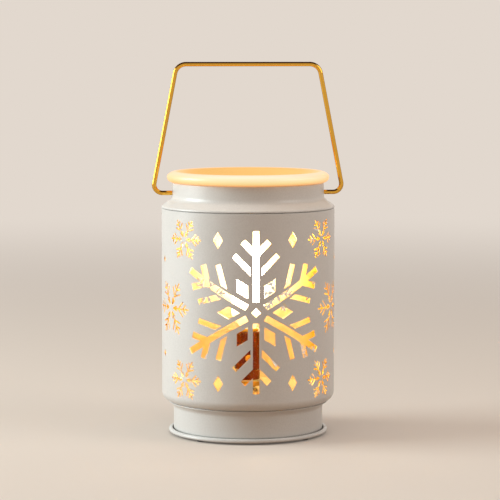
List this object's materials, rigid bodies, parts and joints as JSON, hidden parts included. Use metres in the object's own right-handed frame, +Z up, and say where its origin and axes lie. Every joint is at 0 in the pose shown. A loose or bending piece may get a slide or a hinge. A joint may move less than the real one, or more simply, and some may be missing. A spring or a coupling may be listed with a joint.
{
  "type": "electric wax warmer",
  "caption": "Lantern-shaped electric wax warmer: pierced snowflake body on a drum base, screw-in bulb inside, lift-off opal glass dish on the neck and a swinging wire bail.",
  "frame": {"origin": "on the body's axis, in the plane that the pads stand on", "axes": "+Z up the body's axis, -Y towards the large snowflake, X along the bail's pivots"},
  "size_m": [0.1218, 0.11, 0.2356],
  "materials": {
    "pearl_paint": "satin pearl paint on pressed tinplate",
    "gold_lacquer": "gold lacquer on tinplate, inside of the lamp chamber",
    "gold_wire": "polished, gold plated",
    "opal_glass": "polished opal glass, lit from below",
    "bulb_glass": "clear lamp glass",
    "cap_glass": "black cap glass",
    "tungsten": "glowing filament",
    "brass": "drawn brass",
    "zinc_steel": "zinc plated",
    "phenolic": "moulded brown phenolic",
    "rubber": "matt moulded",
    "white_nylon": "moulded",
    "brown_insulation": "extruded sleeve",
    "blue_insulation": "extruded sleeve"
  },
  "bodies": {
    "root": {"base_plate": "pearl_paint", "feet": "rubber", "base_shell": "pearl_paint", "cord_bush": "rubber", "lamp_shelf": "gold_lacquer", "lead_bush": "white_nylon", "holder_bridge": "zinc_steel", "bridge_screws": "zinc_steel", "bridge_nuts": "zinc_steel", "holder_nipple": "brass", "nipple_nut": "brass", "lamp_holder": "phenolic", "screw_shell": "brass", "centre_contact": "brass", "terminal_screws": "brass", "live_lead": "brown_insulation", "neutral_lead": "blue_insulation", "splice_caps": "white_nylon", "body_wall": "pearl_paint", "collar": "pearl_paint"},
    "bail": {"bail_handle": "gold_wire"},
    "dish": {"wax_dish": "opal_glass"},
    "bulb_seat": {"bulb_insulator": "cap_glass", "bulb_tip": "zinc_steel"},
    "bulb": {"bulb_cap": "brass", "bulb_glass": "bulb_glass", "bulb_stem": "bulb_glass", "lead_in_wires": "zinc_steel", "filament": "tungsten"}
  },
  "joints": [
    {"name": "bail_swing", "type": "hinge", "parent": "root", "child": "bail", "pos_m": [0, 0, 0.1532], "axis": [1, 0, 0], "range_deg": [-135, 135]},
    {"name": "dish_lift", "type": "slide", "parent": "root", "child": "dish", "axis": [0, 0, 1], "range_m": [0, 0.02]},
    {"name": "bulb_rise", "type": "slide", "parent": "root", "child": "bulb_seat", "axis": [0, 0, 1], "range_m": [0, 0.01016]},
    {"name": "bulb_turn", "type": "hinge", "parent": "bulb_seat", "child": "bulb", "pos_m": [0, 0, 0.065], "axis": [0, 0, 1], "range_deg": [0, 1440]}
  ],
  "couplings": [
    {"joint": "bulb_rise", "follows": "bulb_turn", "m_per_rad": 0.00040425}
  ]
}
